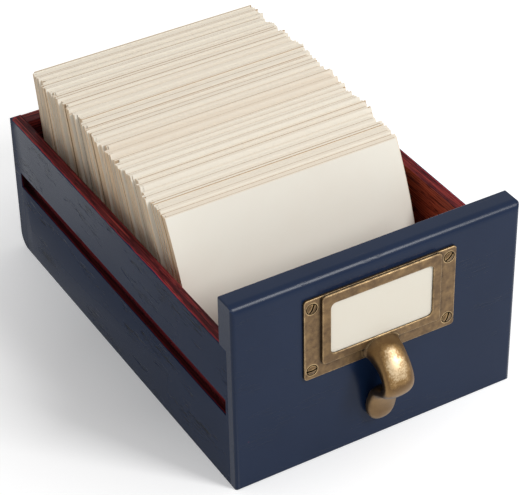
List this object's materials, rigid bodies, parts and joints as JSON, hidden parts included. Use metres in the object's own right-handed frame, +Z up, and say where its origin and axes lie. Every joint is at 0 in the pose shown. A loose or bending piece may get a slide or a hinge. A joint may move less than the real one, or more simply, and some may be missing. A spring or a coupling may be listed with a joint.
{
  "type": "index card drawer",
  "caption": "Painted wooden drawer for index cards with a brass label holder and finger pull on its front, full of cards leaning back.",
  "frame": {"origin": "centre of the bounding box of the whole drawer, pull included, at the height of the underside", "axes": "+Z up, +Y from the labelled front to the back, +X to the right as seen from the front"},
  "size_m": [0.184, 0.299, 0.126],
  "materials": {
    "painted_wood": "satin navy paint over open-grained wood, dark red stain on the bare edges and inside",
    "stained_wood": "dark red stain, rubbed",
    "steel_pin": "plain drawn",
    "brass": "aged cast brass, bright on the worn edges",
    "brass_screw": "aged",
    "label_paper": "matt cream",
    "card_paper": "matt cream"
  },
  "bodies": {
    "drawer_box": {"front_board": "painted_wood", "left_side": "painted_wood", "right_side": "painted_wood", "back_board": "painted_wood", "bottom_panel": "stained_wood", "front_pins": "steel_pin", "back_pins": "steel_pin", "label_holder": "brass", "holder_screws": "brass_screw"},
    "label": {"label_card": "label_paper"},
    "card_deck": {"card_packet_01": "card_paper", "card_packet_02": "card_paper", "card_packet_03": "card_paper", "card_packet_04": "card_paper", "card_packet_05": "card_paper", "card_packet_06": "card_paper", "card_packet_07": "card_paper", "card_packet_08": "card_paper", "card_packet_09": "card_paper", "card_packet_10": "card_paper", "card_packet_11": "card_paper", "card_packet_12": "card_paper"},
    "front_cards": {"front_packet": "card_paper"}
  },
  "joints": [
    {"name": "label_slide", "type": "slide", "parent": "drawer_box", "child": "label", "axis": [0, 0, 1], "range_m": [0, 0.045]},
    {"name": "card_deck_lift", "type": "slide", "parent": "drawer_box", "child": "card_deck", "axis": [0, 0, 1], "range_m": [0, 0.11]},
    {"name": "front_packet_flip", "type": "hinge", "parent": "card_deck", "child": "front_cards", "pos_m": [0, -0.0611, 0.023], "axis": [1, 0, 0], "range_deg": [0, 47]}
  ]
}
